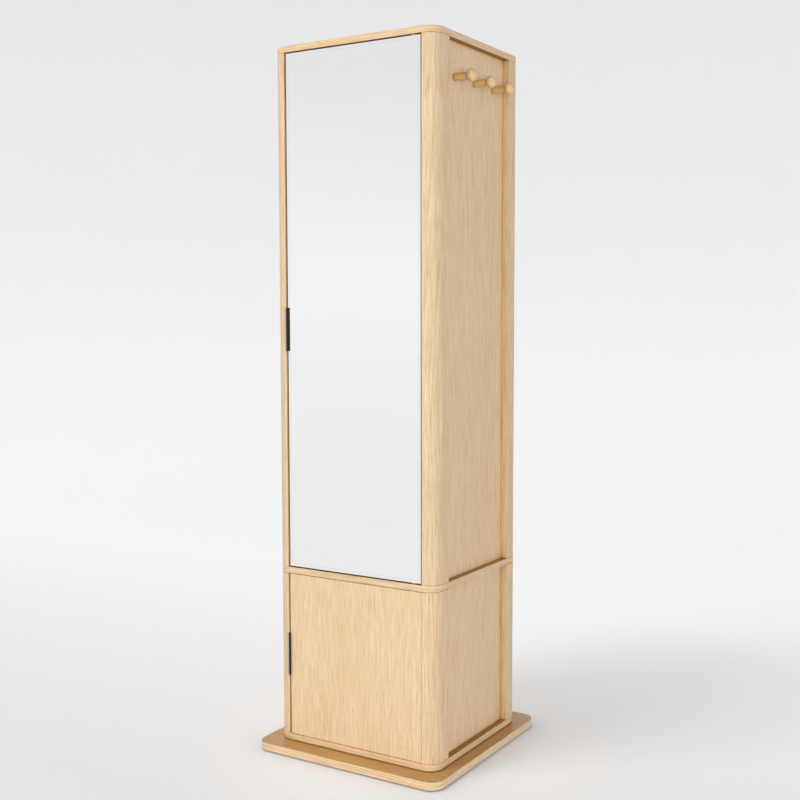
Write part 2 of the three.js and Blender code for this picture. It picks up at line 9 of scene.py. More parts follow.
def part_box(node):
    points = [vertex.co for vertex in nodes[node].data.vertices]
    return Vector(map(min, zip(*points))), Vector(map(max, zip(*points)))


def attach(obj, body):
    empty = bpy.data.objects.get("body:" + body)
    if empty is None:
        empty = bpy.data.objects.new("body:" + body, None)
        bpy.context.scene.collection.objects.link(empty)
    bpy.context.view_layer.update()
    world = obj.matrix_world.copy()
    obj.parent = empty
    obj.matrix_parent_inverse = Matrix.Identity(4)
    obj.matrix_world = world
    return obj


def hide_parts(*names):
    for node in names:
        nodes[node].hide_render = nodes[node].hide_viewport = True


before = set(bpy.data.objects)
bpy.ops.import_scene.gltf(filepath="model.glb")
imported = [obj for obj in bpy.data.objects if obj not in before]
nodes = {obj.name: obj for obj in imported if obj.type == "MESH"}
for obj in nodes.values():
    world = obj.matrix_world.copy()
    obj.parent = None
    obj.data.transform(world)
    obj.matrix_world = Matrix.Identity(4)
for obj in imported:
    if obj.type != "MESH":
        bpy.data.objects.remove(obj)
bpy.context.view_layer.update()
print("frame loaded:", len(nodes), "nodes")


# Surfaces worked out on grids

# The ends of a piece are eased by this share of what its upright edges are eased by, so that no
# corner folds over. A solid turning is closed on its axis by a face of the pole's radius.
endShare = 0.6
pole = 0.00005
up = (0, 0, 1)
xAxis, zAxis = 0, 2


# Unit vectors of the rows of an array.
def unitRows(rows):
    return rows / np.linalg.norm(rows, axis=-1, keepdims=True)


# Outward mitre at each point of a counter-clockwise outline: the sum of the normals of the two
# sides that meet there, over one plus their dot product, so a shift by it moves both sides by one.
def outlineMitres(outline):
    side = unitRows(np.roll(outline, -1, 0) - outline)
    normal = np.stack([side[:, 1], -side[:, 0]], 1)
    before = np.roll(normal, 1, 0)
    return (before + normal) / (1 + np.sum(before * normal, 1, keepdims=True))


# Each sharp corner becomes a quadratic curve between the two points a reach along its sides:
# (1-t)^2 of the first, 2t(1-t) of the corner and t^2 of the last. A corner stays as it is where
# the dot product of the ways to its two neighbours is below the gentle value.
def easedOutline(outline, reach, steps=4, gentle=-0.9):
    corner = np.asarray(outline, float)
    toPrevious = unitRows(np.roll(corner, 1, 0) - corner)
    toNext = unitRows(np.roll(corner, -1, 0) - corner)
    sharp = np.sum(toPrevious * toNext, 1) > gentle
    t = np.linspace(0, 1, steps)[None, :, None]
    first = (corner + reach * toPrevious)[:, None]
    last = (corner + reach * toNext)[:, None]
    curve = (1 - t) ** 2 * first + 2 * t * (1 - t) * corner[:, None] + t ** 2 * last
    curve[~sharp] = corner[~sharp][:, None]
    keep = np.ones(curve.shape[:2], bool)
    keep[~sharp, 1:] = False
    return curve[keep]


def boxOutline(low, high):
    return np.array([[low[0], low[1]], [high[0], low[1]], [high[0], high[1]], [low[0], high[1]]])


# Points on a rectangle with four round corners: a quarter circle about each corner's centre.
def roundedRectangle(low, high, radius, steps=24):
    angle = np.linspace(0, math.pi / 2, steps + 1)[None] + np.arange(4)[:, None] * math.pi / 2
    centreX = np.array([high[0], low[0], low[0], high[0]]) + radius * np.array([-1, 1, 1, -1])
    centreY = np.array([high[1], high[1], low[1], low[1]]) + radius * np.array([-1, -1, 1, 1])
    x = centreX[:, None] + radius * np.cos(angle)
    y = centreY[:, None] + radius * np.sin(angle)
    return np.stack([x.ravel(), y.ravel()], 1)


# Insets and heights of an upright side whose two ends are eased by quarter circles.
def easedProfile(bottom, top, ease, steps=4):
    angle = np.linspace(0, math.pi / 2, steps)
    inset = ease * (1 - np.sin(angle))
    rise = ease * (1 - np.cos(angle))
    return np.concatenate([inset, inset[::-1]]), np.concatenate([bottom + rise, (top - rise)[::-1]])


# An outline carried up a profile: every level is the outline moved inwards along its mitres.
def raisedLevels(outline, bottom, top, ease):
    inset, height = easedProfile(bottom, top, ease)
    flat = outline[None] - inset[:, None, None] * outlineMitres(outline)[None]
    return np.concatenate([flat, np.broadcast_to(height[:, None, None], flat.shape[:2] + (1,))], 2)


# A node's box with all its edges eased, up to its own top or to a height above its foot.
def boxLevels(node, ease, height=None):
    low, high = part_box(node)
    outline = easedOutline(boxOutline(low, high), ease)
    return raisedLevels(outline, low.z, low.z + height if height else high.z, endShare * ease)


# A node's box with round upright corners and eased ends.
def roundedLevels(node, radius, ease):
    low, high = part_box(node)
    return raisedLevels(roundedRectangle(low, high, radius), low.z, high.z, ease)


# A profile of radius and distance turned about a line: radius times the cosine and sine of the
# angle on two unit vectors square to the line, plus the distance along it.
def turnedLevels(profile, place, way, sides=64):
    radius, along = np.asarray(profile, float).T
    axis = np.asarray(way, float)
    across = np.cross(axis, up) if axis[2] == 0 else np.array([1.0, 0, 0])
    other = np.cross(axis, across)
    angle = np.linspace(0, 2 * math.pi, sides, endpoint=False)
    ring = np.cos(angle)[:, None] * across + np.sin(angle)[:, None] * other
    centres = np.asarray(place, float) + along[:, None] * axis
    return centres[:, None] + radius[:, None, None] * ring


# Corners of an open profile of radius and distance eased as an outline's are. Its two ends lie
# next to the axis and stay as they are, so the curve's points within about a reach of it go.
def easedTurn(profile, reach, margin=1.01):
    rows = np.asarray(profile, float)
    curve = easedOutline(rows, reach)
    away = curve[:, 0] > rows[:, 0].min() + reach * margin
    return np.concatenate([rows[:1], curve[away], rows[-1:]])


# Levels of points joined by quads, with a face over each end, or end to end for a ring. The map
# runs with the way round a level and up the levels, and with x and y over the ends.
def loftMesh(name, levels, ring=False):
    rows, columns = levels.shape[:2]
    steps = rows if ring else rows - 1
    total = rows * columns
    first = np.arange(steps)[:, None] * columns
    low = (first + np.arange(columns)).ravel()
    beside = (first + np.roll(np.arange(columns), -1)).ravel()
    quads = np.stack([low, beside, (beside + columns) % total, (low + columns) % total], 1)
    faces = quads.tolist()
    gaps = np.linalg.norm(np.roll(levels, -1, 1) - levels, axis=2).max(0)
    reach = np.concatenate([[0], np.cumsum(gaps)])
    climb = np.concatenate([[0], np.cumsum(np.linalg.norm(np.diff(levels, axis=0), axis=2).max(1))])
    climb = np.append(climb, climb[-1])
    u = np.stack([reach[:-1], reach[1:], reach[1:], reach[:-1]], 1)[None].repeat(steps, 0)
    v = np.stack([climb[:steps], climb[:steps], climb[1:steps + 1], climb[1:steps + 1]], 1)
    layout = [np.stack([u, v[:, None].repeat(columns, 1)], 3).reshape(-1, 2)]
    if not ring:
        faces.append(np.arange(columns)[::-1].tolist())
        faces.append((np.arange(columns) + (rows - 1) * columns).tolist())
        layout += [levels[0, ::-1, :2], levels[-1, :, :2]]
    mesh = bpy.data.meshes.new(name)
    mesh.from_pydata(levels.reshape(-1, 3).tolist(), [], faces)
    grain = mesh.uv_layers.new(name="grain")
    grain.data.foreach_set("uv", np.concatenate(layout).astype(np.float32).ravel())
    mesh.polygons.foreach_set("use_smooth", np.ones(len(faces), bool))
    mesh.update()
    return mesh


# A finished piece: its mesh on a body, with a finish, in place of a CAD node.
def addPiece(node, levels, body, finish, ring=False):
    name = node + "_fine"
    piece = bpy.data.objects.new(name, loftMesh(name, levels, ring))
    bpy.context.scene.collection.objects.link(piece)
    piece.data.materials.append(finish)
    shading = piece.modifiers.new("shading", "WEIGHTED_NORMAL")
    shading.weight = 60
    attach(piece, body)
    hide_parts(node)
    return piece


# A CAD node that stays as it is, in another finish.
def dress(node, finish):
    nodes[node].data.materials.clear()
    nodes[node].data.materials.append(finish)


def middleOf(node):
    low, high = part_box(node)
    return (low + high) / 2


# Finishes

def colour(red, green, blue):
    return (red, green, blue, 1.0)


def scaled(tone, share):
    return colour(*(share * part for part in tone))


# A material's nodes. Inputs are given by name, or by i and their number, as sockets or as values.
class Graph:
    def __init__(self, name):
        self.material = bpy.data.materials.new(name)
        self.material.use_nodes = True
        self.tree = self.material.node_tree
        self.shader = self.tree.nodes["Principled BSDF"]

    def add(self, kind, settings=None, **inputs):
        node = self.tree.nodes.new(kind)
        for key, value in (settings or {}).items():
            setattr(node, key, value)
        for key, value in inputs.items():
            socket = node.inputs[int(key[1:]) if key[0] == "i" and key[1:].isdigit() else key]
            if isinstance(value, bpy.types.NodeSocket):
                self.tree.links.new(value, socket)
            else:
                socket.default_value = value
        return node

    def link(self, output, socketName):
        self.tree.links.new(output, self.shader.inputs[socketName])

    def fix(self, socketName, value):
        self.shader.inputs[socketName].default_value = value

    def place(self, kind="Object"):
        return self.add("ShaderNodeTexCoord").outputs[kind]

    def parts(self, vector):
        return self.add("ShaderNodeSeparateXYZ", None, Vector=vector).outputs

    def mapped(self, vector, **inputs):
        return self.add("ShaderNodeMapping", None, Vector=vector, **inputs).outputs[0]

    # Noise that is stretched to a length along one axis and has a width across it.
    def stretched(self, vector, axis, width, length, *noise):
        scale = [1 / width] * 3
        scale[axis] = 1 / length
        return self.noise(self.mapped(vector, Scale=scale), 1.0, *noise)

    def noise(self, vector, scale, detail=3.0, roughness=0.55):
        made = self.add("ShaderNodeTexNoise", None, Vector=vector, Scale=scale, Detail=detail,
                        Roughness=roughness)
        return made.outputs["Fac"]

    # Values from low to high become values from toLow to toHigh, and go no further.
    def ranged(self, value, low, high, toLow, toHigh):
        limits = {"From Min": low, "From Max": high, "To Min": toLow, "To Max": toHigh}
        made = self.add("ShaderNodeMapRange", {"clamp": True}, Value=value, **limits)
        return made.outputs["Result"]

    def math(self, operation, first, second):
        return self.add("ShaderNodeMath", {"operation": operation}, i0=first, i1=second).outputs[0]

    def mixed(self, share, first, second):
        made = self.add("ShaderNodeMix", {"data_type": "FLOAT"}, i0=share, i2=first, i3=second)
        return made.outputs[0]

    def blend(self, share, first, second, mode="MIX"):
        settings = {"data_type": "RGBA", "blend_type": mode}
        return self.add("ShaderNodeMix", settings, i0=share, i6=first, i7=second).outputs[2]

    def multiplied(self, share, first, tone):
        return self.blend(share, first, colour(*tone), "MULTIPLY")

    # How open a place is, from ambient occlusion: 1 on open faces, less in corners and gaps.
    # Finishes use it for painted shade and a painted contact shadow.
    def openness(self, reach, samples):
        settings = {"samples": samples}
        return self.add("ShaderNodeAmbientOcclusion", settings, Distance=reach).outputs["AO"]

    def bump(self, height, strength, distance):
        made = self.add("ShaderNodeBump", None, Height=height, Strength=strength, Distance=distance)
        self.link(made.outputs["Normal"], "Normal")


# Straight-grained oak. Noise is stretched along the grain: wide bands of tone, streaks and lines a
# few millimetres across and a finger long, and short dark pores. A slow blush shifts the hue.
oak = {
    "light": (0.850, 0.645, 0.405),
    "middle": (0.690, 0.480, 0.268),
    "dark": (0.500, 0.310, 0.150),
    "blush": (0.800, 0.590, 0.410),
    "swayScale": 2.2,
    "swayWidth": 0.003,
    "roughness": (0.42, 0.58),
    "roughShown": (0.2, 0.8),
    "streakHeight": 0.5,
    "poreHeight": -0.6,
    "bumpStrength": 0.5,
    "bumpDepth": 0.00012,
    "levelShown": (0.80, 0.98),
    "ledgeFade": 0.003,
    "stemShown": (0.05, 0.70),
    "openReach": 0.032,
    "openSamples": 6,
    # Painted shade from ambient occlusion: golden in corners, brown in narrow gaps.
    "corner": {"tone": (1.0, 0.96, 0.69), "shown": (0.55, 0.92)},
    "creviceShade": {"tone": (0.60, 0.43, 0.27), "shown": (0.25, 0.55)},
}

# The figure's parts, in the order in which they are laid on: width and length, the noise's detail
# and roughness, the noise where the part starts and where it is full, its share and its tone.
figure = {
    "streak": ((0.0025, 0.130), (2.0, 0.60), (0.34, 0.70), 0.82, "middle"),
    "band": ((0.0260, 0.364), (2.0, 0.55), (0.40, 0.72), 0.26, "middle"),
    "blush": ((0.0300, 0.120), (2.0, 0.55), (0.42, 0.66), 0.32, "blush"),
    "line": ((0.0013, 0.065), (2.0, 0.50), (0.50, 0.74), 0.64, "dark"),
    "pore": ((0.0007, 0.014), (1.0, 0.40), (0.60, 0.74), 0.46, "dark"),
}

# Tones that multiply the oak's own: for whole pieces, and as painted shade for faces turned up,
# down or sideways.
tints = {
    "plain": (1, 1, 1),
    "post": (0.99, 1.005, 1.05),
    "side": (1.0, 1.005, 1.055),
    "inner": (0.96, 0.94, 0.92),
    "shelf": (0.98, 0.96, 0.94),
    "peg": (1.0, 0.97, 0.84),
    # Painted shade on a peg's stem and the sides of its knob.
    "stem": (0.84, 0.74, 0.60),
    # Painted shade: these darken faces turned up or down on the boards and the base.
    "boardTop": (0.67, 0.49, 0.27),
    "footTop": (0.57, 0.40, 0.20),
    "baseTop": (0.82, 0.63, 0.37),
    "under": (0.47, 0.33, 0.17),
}


# The shift gives each finish a figure of its own, and the depth scales how far the figure, apart
# from the blush, darkens the wood. Faces turned up and down take the up and down tints, painted
# shade, only outside the ledge's x and y where a ledge is given. Faces turned away from +X, such as
# a peg's stem, take the turned tint, painted shade. The crevice share paints shade from ambient
# occlusion: corners are painted golden and narrow gaps are painted brown.
def oakFinish(name, grainAxis, shift, tint="plain", useMap=False, depth=1.0, upShade=None,
              downShade=None, ledge=None, turnedShade=None, creviceShade=0.0, roughness=None, gloss=0.35):
    g = Graph(name)
    moved = g.mapped(g.place("UV" if useMap else "Object"), Location=shift)
    sway = g.ranged(g.noise(moved, oak["swayScale"], detail=2.0), 0.0, 1.0, -1.0, 1.0)
    sideways = g.add("ShaderNodeVectorMath", {"operation": "SCALE"}, i0=[oak["swayWidth"]] * 3,
                     Scale=sway)
    bent = g.add("ShaderNodeVectorMath", {"operation": "ADD"}, i0=moved, i1=sideways.outputs[0])

    def toned(key):
        return colour(*(part * share for part, share in zip(oak[key], tints[tint])))

    parts = {}
    base = toned("light")
    for part, (size, noise, shown, share, key) in figure.items():
        parts[part] = g.stretched(bent.outputs[0], grainAxis, *size, *noise)
        full = share if part == "blush" else share * depth
        base = g.blend(g.ranged(parts[part], *shown, 0.0, full), base, toned(key))
    # Painted shade: faces turned up and down are darkened, as if lit less than upright faces.
    if upShade:
        rise = g.parts(g.place("Normal"))["Z"]
        start, end = oak["levelShown"]
        raised = g.ranged(rise, start, end, 0.0, 1.0)
        lowered = g.ranged(rise, -end, -start, 1.0, 0.0)
        if ledge:
            spot = g.parts(g.place())
            starts = [edge - oak["ledgeFade"] for edge in ledge]
            beside = g.ranged(g.math("ABSOLUTE", spot["X"], 0.0), starts[0], ledge[0], 0.0, 1.0)
            behind = g.ranged(spot["Y"], starts[1], ledge[1], 0.0, 1.0)
            outside = g.math("MAXIMUM", beside, behind)
            raised = g.math("MULTIPLY", raised, outside)
            lowered = g.math("MULTIPLY", lowered, outside)
        base = g.multiplied(raised, base, tints[upShade])
        base = g.multiplied(lowered, base, tints[downShade])
    # Painted shade on faces turned away from +X, such as a peg's stem.
    if turnedShade:
        facing = g.parts(g.place("Normal"))["X"]
        base = g.multiplied(g.ranged(facing, *oak["stemShown"], 1.0, 0.0), base, tints[turnedShade])
    # Painted shade: ambient occlusion paints corners golden and narrow gaps brown.
    if creviceShade:
        near = g.openness(oak["openReach"], oak["openSamples"])
        for place in (oak["corner"], oak["creviceShade"]):
            base = g.multiplied(g.ranged(near, *place["shown"], creviceShade, 0.0), base, place["tone"])
    g.link(base, "Base Color")
    rough = g.ranged(parts["streak"], *oak["roughShown"], *(roughness or oak["roughness"]))
    g.link(rough, "Roughness")
    height = g.math("ADD", g.math("MULTIPLY", parts["streak"], oak["streakHeight"]),
                    g.math("MULTIPLY", parts["pore"], oak["poreHeight"]))
    g.bump(height, oak["bumpStrength"], oak["bumpDepth"])
    g.fix("Specular IOR Level", gloss)
    return g.material


# Metal drawn along one axis: long fine scratches in the roughness and the bump.
drawn = {"width": 1 / 2600, "length": 1 / 60, "shown": (0.25, 0.75), "cloudScale": 35.0,
         "darker": 0.82, "bumpStrength": 0.25, "bumpDepth": 0.00004}


def scratched(g, brushAxis, roughness, strength, depth):
    scratch = g.stretched(g.place(), brushAxis, drawn["width"], drawn["length"])
    g.link(g.ranged(scratch, *drawn["shown"], *roughness), "Roughness")
    g.fix("Metallic", 1.0)
    g.bump(scratch, strength, depth)


# A tone that a soft cloud darkens to a share of itself.
def clouded(g, scale, tone, share, detail, shown=(0.3, 0.7)):
    cloud = g.ranged(g.noise(g.place(), scale, detail), *shown, 0.0, 1.0)
    g.link(g.blend(cloud, colour(*tone), scaled(tone, share)), "Base Color")


def metalFinish(name, tone, roughness, brushAxis):
    g = Graph(name)
    clouded(g, drawn["cloudScale"], tone, drawn["darker"], detail=3.0)
    scratched(g, brushAxis, roughness, drawn["bumpStrength"], drawn["bumpDepth"])
    return g.material


# Moulded plastic or rubber: a fine even grain.
moulded = {"cloudScale": 25.0, "darker": 0.86, "shown": (0.2, 0.8), "spread": 0.06,
           "bumpStrength": 0.3}


def mouldedFinish(name, tone, roughness, grainScale, depth):
    g = Graph(name)
    clouded(g, moulded["cloudScale"], tone, moulded["darker"], detail=2.0)
    grain = g.noise(g.place(), grainScale, detail=4.0)
    spread = moulded["spread"]
    rough = g.ranged(grain, *moulded["shown"], roughness - spread, roughness + spread)
    g.link(rough, "Roughness")
    g.bump(grain, moulded["bumpStrength"], depth)
    return g.material


# Bronzed steel, dark on its faces, with a painted highlight: the edge that faces the front is
# painted bright.
bronze = {"cloudScale": 60.0, "front": (-0.95, -0.55), "roughness": (0.34, 0.50),
          "dark": ((0.085, 0.054, 0.026), (0.056, 0.035, 0.017)),
          "bright": ((0.64, 0.60, 0.55), (0.54, 0.50, 0.45)),
          "bumpStrength": 0.2, "bumpDepth": 0.00003}


def pullFinish():
    g = Graph("bronzedSteel")
    cloud = g.noise(g.place(), bronze["cloudScale"])
    # Painted highlight: faces turned to the front take the bright tone.
    paintedHighlight = g.ranged(g.parts(g.place("Normal"))["Y"], *bronze["front"], 1.0, 0.0)
    dark, bright = (
        g.blend(cloud, colour(*first), colour(*second))
        for first, second in (bronze["dark"], bronze["bright"]))
    g.link(g.blend(paintedHighlight, dark, bright), "Base Color")
    scratched(g, zAxis, bronze["roughness"], bronze["bumpStrength"], bronze["bumpDepth"])
    return g.material


# Silvered glass: a clean reflection with the faintest haze and tone.
silvered = {"hazeScale": 3.0, "darker": 0.978, "shown": (0.3, 0.7), "smoothShare": 0.5}


def mirrorFinish(name, tone, roughness):
    g = Graph(name)
    haze = g.noise(g.place(), silvered["hazeScale"])
    g.link(g.blend(haze, scaled(tone, silvered["darker"]), colour(*tone)), "Base Color")
    smooth = roughness * silvered["smoothShare"]
    g.link(g.ranged(haze, *silvered["shown"], smooth, roughness), "Roughness")
    g.fix("Metallic", 1.0)
    return g.material


# The side and back panels are set back by the ledge's width, and the boards stand out past them.
ledgeWidth = 0.018
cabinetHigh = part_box("top_panel")[1]
ledge = (cabinetHigh.x - ledgeWidth, cabinetHigh.y - ledgeWidth)
postOak = {"grainAxis": zAxis, "tint": "post", "depth": 1.4, "creviceShade": 0.8}
sideOak = {"grainAxis": zAxis, "tint": "side", "depth": 1.1, "creviceShade": 0.8}
lyingOak = {"grainAxis": xAxis, "useMap": True}
boardOak = {**lyingOak, "downShade": "under", "ledge": ledge, "depth": 1.5}
finishes = {
    "upperPost": oakFinish("upperPostOak", shift=(0.31, 0.17, 0.0), **postOak),
    "lowerPost": oakFinish("lowerPostOak", shift=(0.93, 0.48, 3.1), **postOak),
    "upperSide": oakFinish("upperSideOak", shift=(1.70, 0.81, 5.2), **sideOak),
    "lowerSide": oakFinish("lowerSideOak", shift=(2.60, 1.37, 8.7), **sideOak),
    "door": oakFinish("doorOak", zAxis, (3.40, 2.21, 1.9), depth=1.1),
    "inner": oakFinish("innerOak", zAxis, (4.10, 2.83, 6.6), "inner", creviceShade=0.5),
    "board": oakFinish("boardOak", shift=(0.40, 0.25, 0.0), upShade="boardTop", creviceShade=1.0,
                       **boardOak),
    "footBoard": oakFinish("footBoardOak", shift=(2.20, 1.10, 0.0), upShade="footTop", creviceShade=0.4,
                           **boardOak),
    "topBoard": oakFinish("topBoardOak", shift=(1.40, 0.85, 0.0), upShade="plain", creviceShade=1.0,
                          **boardOak),
    "shelf": oakFinish("shelfOak", shift=(5.30, 3.70, 0.4), tint="shelf", creviceShade=0.5, **lyingOak),
    "base": oakFinish("baseOak", shift=(6.20, 4.10, 0.0), upShade="baseTop", downShade="boardTop",
                      creviceShade=0.15, depth=1.5, roughness=(0.26, 0.38), gloss=0.5, **lyingOak),
    "peg": oakFinish("pegOak", xAxis, (7.10, 5.90, 2.2), "peg", depth=0.7, turnedShade="stem",
                     creviceShade=0.9, roughness=(0.30, 0.42), gloss=0.5),
    "mirror": mirrorFinish("silveredGlass", (0.925, 0.917, 0.928), roughness=0.024),
    "mirrorArris": mirrorFinish("groundArris", (0.780, 0.785, 0.785), roughness=0.160),
    "mirrorEdge": mouldedFinish("glassEdge", (0.30, 0.38, 0.36), roughness=0.16, grainScale=300.0,
                                depth=0.00001),
    "pull": pullFinish(),
    "zinc": metalFinish("zincSteel", (0.62, 0.63, 0.66), (0.30, 0.48), zAxis),
    "rail": metalFinish("railAluminium", (0.74, 0.75, 0.77), (0.22, 0.40), xAxis),
    "nylon": mouldedFinish("naturalNylon", (0.82, 0.80, 0.75), roughness=0.45, grainScale=900.0,
                           depth=0.00003),
    "rubber": mouldedFinish("padRubber", (0.055, 0.053, 0.050), roughness=0.75, grainScale=1400.0,
                            depth=0.00008),
}
print("finishes made:", len(finishes))


# Base, with the well that the turntable lies in, and the pad under it

basePlate = {"cornerRadius": 0.036, "ease": 0.0016, "wellRadius": 0.152, "wellDepth": 0.008}
pad = {"cornerRadius": 0.026, "ease": 0.0006}


# The top face blends from the plate's outline to the well's circle, whose points stand at the
# same angles, and the well goes straight down from there.
def basePlateLevels():
    levels = roundedLevels("base_plate", basePlate["cornerRadius"], basePlate["ease"])
    low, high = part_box("base_plate")
    outline = roundedRectangle(low, high, basePlate["cornerRadius"])
    rim = basePlate["wellRadius"] * unitRows(outline)
    height = np.full((len(rim), 1), high.z)
    mouth = np.concatenate([rim, height], 1)
    floor = np.concatenate([rim, height - basePlate["wellDepth"]], 1)
    return np.concatenate([levels, mouth[None], floor[None]])


# The grain runs straight over the plate's top, which is the last band of faces but one, up to the
# well's mouth, so the map there is x and y.
def straightenGrain(piece, levels):
    columns = levels.shape[1]
    band = len(levels) - 3
    mesh = piece.data
    for face in mesh.polygons[band * columns:(band + 1) * columns]:
        for loop in face.loop_indices:
            corner = mesh.vertices[mesh.loops[loop].vertex_index].co
            mesh.uv_layers["grain"].data[loop].uv = corner.xy


plateLevels = basePlateLevels()
plate = addPiece("base_plate", plateLevels, "base", finishes["base"])
straightenGrain(plate, plateLevels)
padLevels = roundedLevels("base_pad", pad["cornerRadius"], pad["ease"])
addPiece("base_pad", padLevels, "base", finishes["rubber"])
print("base made")


# Cabinet boards: bottom, middle and top, with the outer edges eased

boards = {"cornerRadius": 0.038, "ease": 0.0011}
boardFinish = {"bottom_panel": "footBoard", "middle_panel": "board", "top_panel": "topBoard"}
for node, kind in boardFinish.items():
    levels = roundedLevels(node, boards["cornerRadius"], boards["ease"])
    addPiece(node, levels, "cabinet", finishes[kind])
print("boards made")


# Corner posts: a quarter circle at the outer corner, grooves for the panels

post = {
    "width": 0.038, "depth": 0.066, "recess": 0.018, "panel": 0.012, "groove": 0.006,
    "clearance": 0.0003, "ease": 0.0006, "endEase": 0.0004, "tenon": 0.007, "seam": 0.0003,
    "arcSteps": 28,
}


# The outline is given as depths from the cabinet's side and from its front or back face, and
# turned to the post's own corner by the signs of the side and the end.
def postOutline(side, end):
    angle = np.linspace(0, math.pi / 2, post["arcSteps"] + 1)
    arc = post["width"] * (1 - np.stack([np.cos(angle), np.sin(angle)], 1))
    near = post["recess"] - post["clearance"]
    far = post["recess"] + post["panel"] + post["clearance"]
    width, depth, groove = post["width"], post["depth"], post["groove"]
    backGroove = [[width, near], [width - groove, near], [width - groove, far], [width, far]]
    rest = [
        [width, depth], [far, depth], [far, depth - groove], [near, depth - groove], [near, depth],
        [0, depth],
    ]
    depths = np.array(arc.tolist() + (backGroove if end > 0 else []) + rest)
    x = side * (cabinetHigh.x - depths[:, 0])
    y = end * (cabinetHigh.y - depths[:, 1])
    outline = np.stack([x, y], 1)
    return outline if side * end > 0 else outline[::-1]


# A post shows between its tenons, less a fine seam at each end.
def postLevels(node, side, end):
    low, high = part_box(node)
    shoulder = post["tenon"] + post["seam"]
    outline = easedOutline(postOutline(side, end), post["ease"])
    return raisedLevels(outline, low.z + shoulder, high.z - shoulder, post["endEase"])


for storey in ("upper", "lower"):
    for sideName, side in (("right", 1), ("left", -1)):
        for endName, end in (("front", -1), ("rear", 1)):
            node = f"{storey}_{endName}_{sideName}_post"
            levels = postLevels(node, side, end)
            addPiece(node, levels, "cabinet", finishes[storey + "Post"])
print("posts made")


# Side and back panels stay as they are, in finer finishes

for storey in ("upper", "lower"):
    for side in ("right", "left"):
        dress(f"{storey}_{side}_side_panel", finishes[storey + "Side"])
    dress(f"{storey}_back_panel", finishes["inner"])
print("panels dressed")


# Shelves, with all edges eased

shelf = {"ease": 0.0008}
for node in ("upper_shelf", "lower_shelf"):
    addPiece(node, boxLevels(node, shelf["ease"]), "cabinet", finishes["shelf"])
print("shelves made")


# Coat pegs: a straight shaft that swells into a knob, all one smooth turning

peg = {
    "shaft": 0.009, "knob": 0.0155, "knobHalf": 0.012, "length": 0.057, "blend": 8, "sides": 56,
    "stemEnd": 0.034, "stemSteps": 18, "headStart": 0.0345, "headSteps": 44, "tipGap": 0.00001,
}


# The knob's radius is its greatest radius times the square root of one less the square of the
# distance from its middle over its half length. The eighth root of the sum of the knob's and the
# shaft's eighth powers joins the two smoothly and stays close to the greater.
def pegLevels(node):
    centre = middleOf(node)
    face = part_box(node)[1].x - peg["length"]
    stem = np.linspace(0, peg["stemEnd"], peg["stemSteps"])
    head = np.linspace(peg["headStart"], peg["length"] - peg["tipGap"], peg["headSteps"])
    along = np.concatenate([stem, head])
    middle = peg["length"] - peg["knobHalf"]
    share = np.clip((along - middle) / peg["knobHalf"], -1, 1)
    knob = peg["knob"] * np.sqrt(1 - share ** 2)
    shaft = np.where(along < middle, peg["shaft"], 0.0)
    radius = (knob ** peg["blend"] + shaft ** peg["blend"]) ** (1 / peg["blend"])
    profile = np.stack([radius, along], 1)
    return turnedLevels(profile, (face, centre.y, centre.z), (1, 0, 0), peg["sides"])


for number in (1, 2, 3):
    node = f"coat_peg_{number}"
    addPiece(node, pegLevels(node), "cabinet", finishes["peg"])
print("pegs made")


# Doors

doors = {
    "ease": 0.0006, "glassBevel": 0.0065, "bevelDeep": 0.00012, "arris": 0.0010,
    "arrisShare": 0.08,
}


# The glass is a plate whose outline in the x and z plane is carried back. Its front is ground to a
# shallow bevel that meets the flat in a narrow dull arris.
def glassLevels():
    low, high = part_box("mirror_glass")
    outline = boxOutline((low.x, low.z), (high.x, high.z))
    bevel, deep, arris = doors["glassBevel"], doors["bevelDeep"], doors["arris"]
    inset = np.array([0.0, 0.0, bevel, bevel + arris])
    depth = np.array([high.y, low.y + deep, low.y + doors["arrisShare"] * deep, low.y])
    flat = outline[None] - inset[:, None, None] * outlineMitres(outline)[None]
    y = np.broadcast_to(depth[:, None], flat.shape[:2])
    return np.stack([flat[..., 0], y, flat[..., 1]], 2)


doorBoards = {"lower_door": ("door_oak", "door"), "mirror_door": ("backing_oak", "inner")}
for door, (slot, kind) in doorBoards.items():
    node = door + "_board"
    addPiece(node, boxLevels(node, doors["ease"]), door, finishes[kind])

# The glass's faces are flat and come in bands of four: the plain edge, the bevel and the arris.
# The back is the last but one. The bevel and the front, the last face, are silvered.
glass = addPiece("mirror_glass", glassLevels(), "mirror_door", finishes["mirror"])
glass.data.materials.append(finishes["mirrorEdge"])
glass.data.materials.append(finishes["mirrorArris"])
glass.modifiers.clear()
glassFaces = glass.data.polygons
glassFaces.foreach_set("use_smooth", np.zeros(len(glassFaces), bool))
band, edgeSlot, arrisSlot = 4, 1, 2
faceSlots = np.zeros(len(glassFaces), np.int32)
faceSlots[:band] = edgeSlot
faceSlots[2 * band:3 * band] = arrisSlot
faceSlots[-2] = edgeSlot
glassFaces.foreach_set("material_index", faceSlots)
print("doors made")


# Pulls: a bent strip, one leg out in front of the door's edge and one behind the door

pull = {"thickness": 0.0032, "ease": 0.0004}


def pullLevels(node):
    low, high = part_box(node)
    thick = pull["thickness"]
    outline = np.array([
        [low.x, low.y], [low.x + thick, low.y], [low.x + thick, high.y - thick],
        [high.x, high.y - thick], [high.x, high.y], [low.x, high.y],
    ])
    outline = easedOutline(outline, pull["ease"])
    return raisedLevels(outline, low.z, high.z, endShare * pull["ease"])


for door in ("mirror_door", "lower_door"):
    addPiece(door + "_pull", pullLevels(door + "_pull"), door, finishes["pull"])
print("pulls made")


# Rail and its sockets

